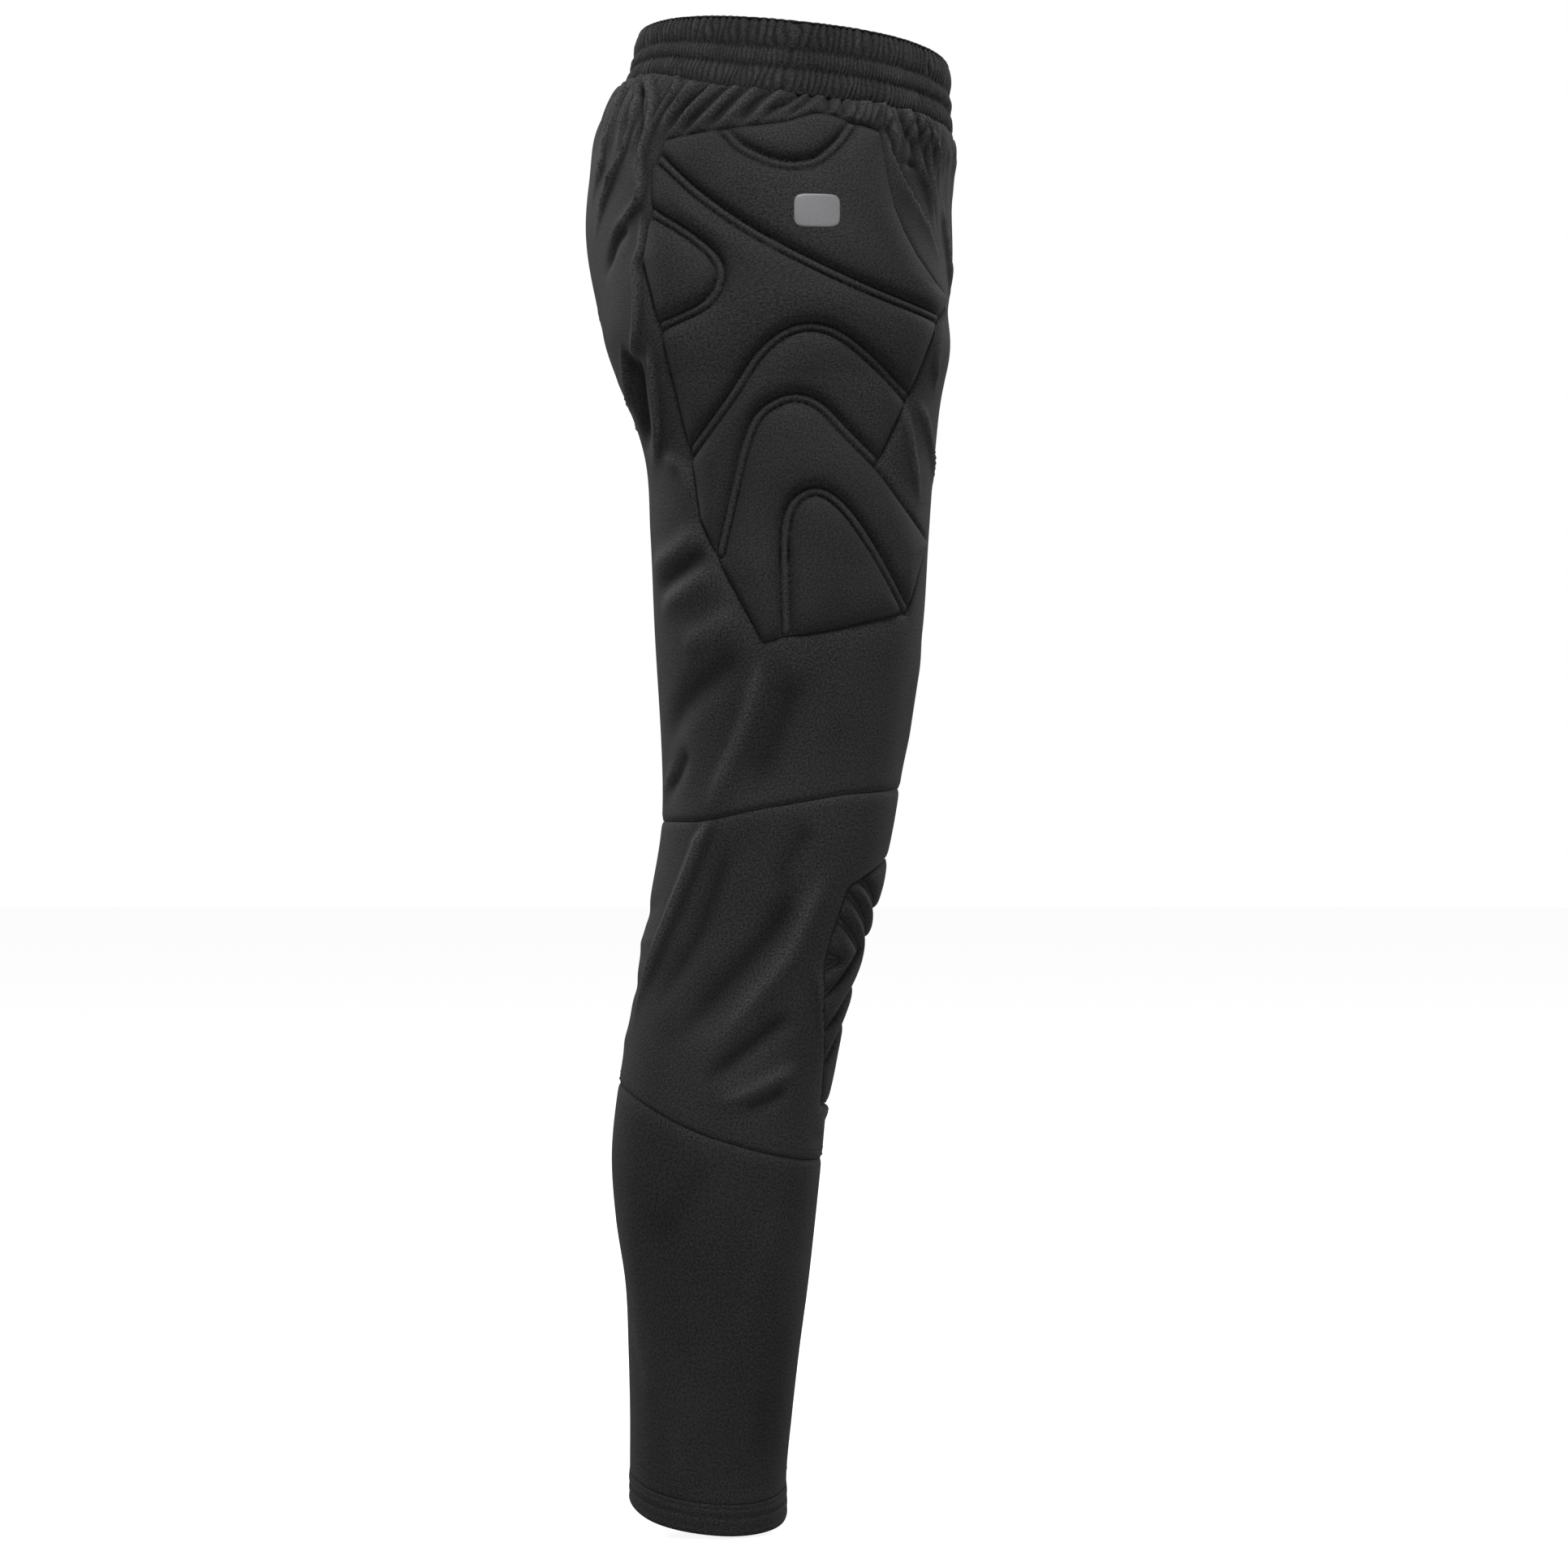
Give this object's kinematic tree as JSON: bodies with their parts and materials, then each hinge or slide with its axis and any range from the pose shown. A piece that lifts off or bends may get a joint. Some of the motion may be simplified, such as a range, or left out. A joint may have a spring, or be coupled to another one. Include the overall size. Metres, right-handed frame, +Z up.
{
  "type": "padded goalkeeper trousers",
  "caption": "Long goalkeeper trousers with an elastic waistband, quilted foam pads over hips and knees, and slim lower legs, open as worn.",
  "frame": {"origin": "middle of the waist opening, level with the top edge of the waistband", "axes": "+X is the wearer's front, +Y the wearer's left, +Z up"},
  "size_m": [0.257, 0.3722, 1.0307],
  "materials": {
    "knit": "matt black double-knit polyester with a fine rib",
    "stretch_knit": "matt black stretch jersey, smoother than the upper leg",
    "lining": "thin matt black warp-knit lining",
    "foam": "grey open-cell foam, matt",
    "elastic": "white woven elastic",
    "reflective": "grey heat-pressed reflective film, satin",
    "eyelet": "gunmetal"
  },
  "bodies": {
    "hips": {"waistband_casing_front": "knit", "waistband_casing_back": "knit", "waist_elastic_upper": "elastic", "waist_elastic_middle": "elastic", "waist_elastic_lower": "elastic", "right_drawcord_eyelet": "eyelet", "left_drawcord_eyelet": "eyelet"},
    "right_thigh": {"right_leg_panel": "knit", "right_hip_pad_cover": "knit", "right_hip_pad_lining": "lining", "right_reflective_patch": "reflective", "right_pocket_bag": "lining", "right_hip_foam_top": "foam", "right_hip_foam_upper": "foam", "right_hip_foam_rear": "foam", "right_hip_foam_middle": "foam", "right_hip_foam_outer_arch": "foam", "right_hip_foam_middle_arch": "foam", "right_hip_foam_inner_arch": "foam", "right_knee_panel": "knit", "right_knee_pad_cover": "knit", "right_knee_pad_lining": "lining", "right_knee_foam_top": "foam", "right_knee_foam_upper_chevron": "foam", "right_knee_foam_centre": "foam", "right_knee_foam_outer_bay": "foam", "right_knee_foam_inner_bay": "foam", "right_knee_foam_lower_chevron": "foam", "right_knee_foam_bottom": "foam"},
    "right_shin": {"right_lower_leg": "stretch_knit", "right_hem_band": "stretch_knit"},
    "left_thigh": {"left_leg_panel": "knit", "left_hip_pad_cover": "knit", "left_hip_pad_lining": "lining", "left_reflective_patch": "reflective", "left_pocket_bag": "lining", "left_hip_foam_top": "foam", "left_hip_foam_upper": "foam", "left_hip_foam_rear": "foam", "left_hip_foam_middle": "foam", "left_hip_foam_outer_arch": "foam", "left_hip_foam_middle_arch": "foam", "left_hip_foam_inner_arch": "foam", "left_knee_panel": "knit", "left_knee_pad_cover": "knit", "left_knee_pad_lining": "lining", "left_knee_foam_top": "foam", "left_knee_foam_upper_chevron": "foam", "left_knee_foam_centre": "foam", "left_knee_foam_outer_bay": "foam", "left_knee_foam_inner_bay": "foam", "left_knee_foam_lower_chevron": "foam", "left_knee_foam_bottom": "foam"},
    "left_shin": {"left_lower_leg": "stretch_knit", "left_hem_band": "stretch_knit"}
  },
  "joints": [
    {"name": "right_hip", "type": "hinge", "parent": "hips", "child": "right_thigh", "pos_m": [-0.02, -0.092, -0.234], "axis": [0, -1, 0], "range_deg": [-15, 90], "deforming": ["right_leg_panel", "right_hip_pad_cover", "right_hip_pad_lining", "right_reflective_patch", "right_pocket_bag", "right_hip_foam_top", "right_hip_foam_upper", "right_hip_foam_rear", "right_hip_foam_middle", "right_hip_foam_outer_arch", "right_hip_foam_middle_arch", "right_hip_foam_inner_arch"]},
    {"name": "right_knee", "type": "hinge", "parent": "right_thigh", "child": "right_shin", "pos_m": [-0.03, -0.093, -0.629], "axis": [0, 1, 0], "range_deg": [0, 100], "deforming": ["right_knee_panel", "right_knee_pad_cover", "right_knee_pad_lining", "right_knee_foam_top", "right_knee_foam_upper_chevron", "right_knee_foam_centre", "right_knee_foam_outer_bay", "right_knee_foam_inner_bay", "right_knee_foam_lower_chevron", "right_knee_foam_bottom"]},
    {"name": "left_hip", "type": "hinge", "parent": "hips", "child": "left_thigh", "pos_m": [-0.02, 0.092, -0.234], "axis": [0, -1, 0], "range_deg": [-15, 90], "deforming": ["left_leg_panel", "left_hip_pad_cover", "left_hip_pad_lining", "left_reflective_patch", "left_pocket_bag", "left_hip_foam_top", "left_hip_foam_upper", "left_hip_foam_rear", "left_hip_foam_middle", "left_hip_foam_outer_arch", "left_hip_foam_middle_arch", "left_hip_foam_inner_arch"]},
    {"name": "left_knee", "type": "hinge", "parent": "left_thigh", "child": "left_shin", "pos_m": [-0.03, 0.093, -0.629], "axis": [0, 1, 0], "range_deg": [0, 100], "deforming": ["left_knee_panel", "left_knee_pad_cover", "left_knee_pad_lining", "left_knee_foam_top", "left_knee_foam_upper_chevron", "left_knee_foam_centre", "left_knee_foam_outer_bay", "left_knee_foam_inner_bay", "left_knee_foam_lower_chevron", "left_knee_foam_bottom"]}
  ]
}
